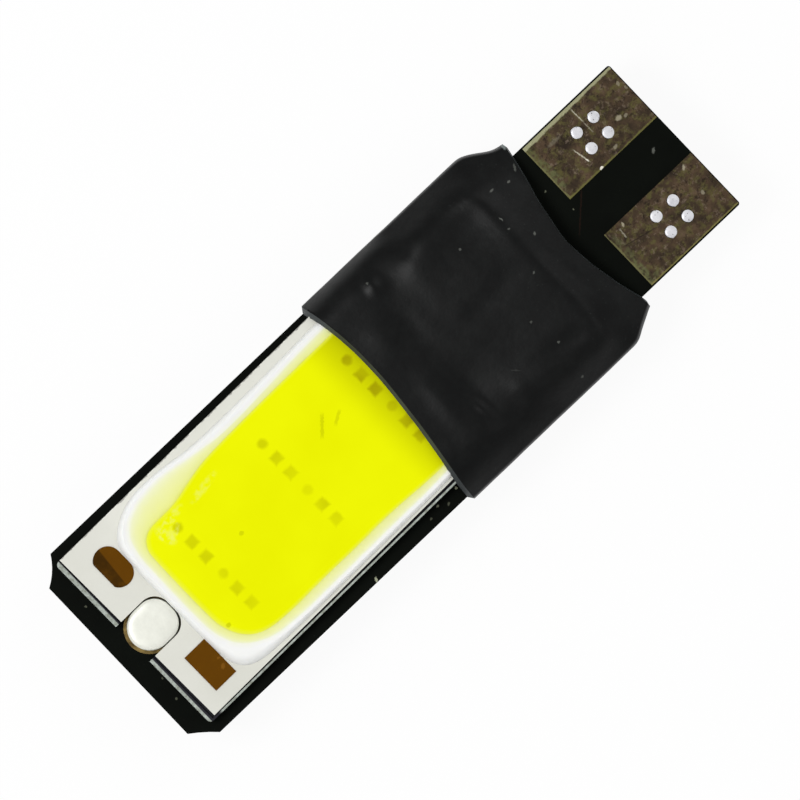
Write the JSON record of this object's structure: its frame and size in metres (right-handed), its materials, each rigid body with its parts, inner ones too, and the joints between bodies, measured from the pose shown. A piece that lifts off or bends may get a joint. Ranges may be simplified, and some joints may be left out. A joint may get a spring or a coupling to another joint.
{
  "type": "wedge base led bulb",
  "caption": "Flat two-sided wedge-base LED lamp: stepped board with a yellow light field on each face, a shrunk sleeve over the driver parts and a contact tongue as base.",
  "frame": {"origin": "centre of the lamp's outline at its lowest face, as it lies on its back", "axes": "+X along the board from the lit end to the tip of the tongue, +Y across the board, +Z out of the front light field"},
  "size_m": [0.038, 0.0128, 0.0055],
  "materials": {
    "board_mask": "black mask over glass-epoxy board, satin",
    "contact_plating": "dull oxidised copper plating",
    "solder": "bright reflowed solder",
    "moulding": "moulded epoxy",
    "tinned_lead": "tinned copper",
    "resistor_ceramic": "glazed ceramic",
    "bond_tape": "thermal adhesive tape",
    "plate_enamel": "white reflective mask over aluminium",
    "land_copper": "bare oxidised copper land",
    "dam_silicone": "white silicone",
    "die_crystal": "blue light chip under phosphor",
    "phosphor_silicone": "yellow phosphor in silicone, smooth",
    "sleeve_film": "black polyolefin heat-shrink film, satin"
  },
  "bodies": {
    "root": {"carrier_board": "board_mask", "positive_contact": "contact_plating", "negative_contact": "contact_plating", "via_solder": "solder", "front_rectifier": "moulding", "front_regulator": "moulding", "front_rectifier_leads": "tinned_lead", "front_regulator_leads": "tinned_lead", "back_resistors": "resistor_ceramic", "back_resistor_ends": "tinned_lead", "shrink_sleeve": "sleeve_film", "front_bond_layer": "bond_tape", "front_plate": "plate_enamel", "front_supply_lands": "land_copper", "front_copper_rim": "land_copper", "front_end_solder": "solder", "front_dam": "dam_silicone", "front_light_dice": "die_crystal", "front_phosphor_fill": "phosphor_silicone", "front_supply_strips": "tinned_lead", "front_strip_solder": "solder", "back_bond_layer": "bond_tape", "back_plate": "plate_enamel", "back_supply_lands": "land_copper", "back_copper_rim": "land_copper", "back_end_solder": "solder", "back_dam": "dam_silicone", "back_light_dice": "die_crystal", "back_phosphor_fill": "phosphor_silicone", "back_supply_strips": "tinned_lead", "back_strip_solder": "solder"}
  },
  "joints": []
}
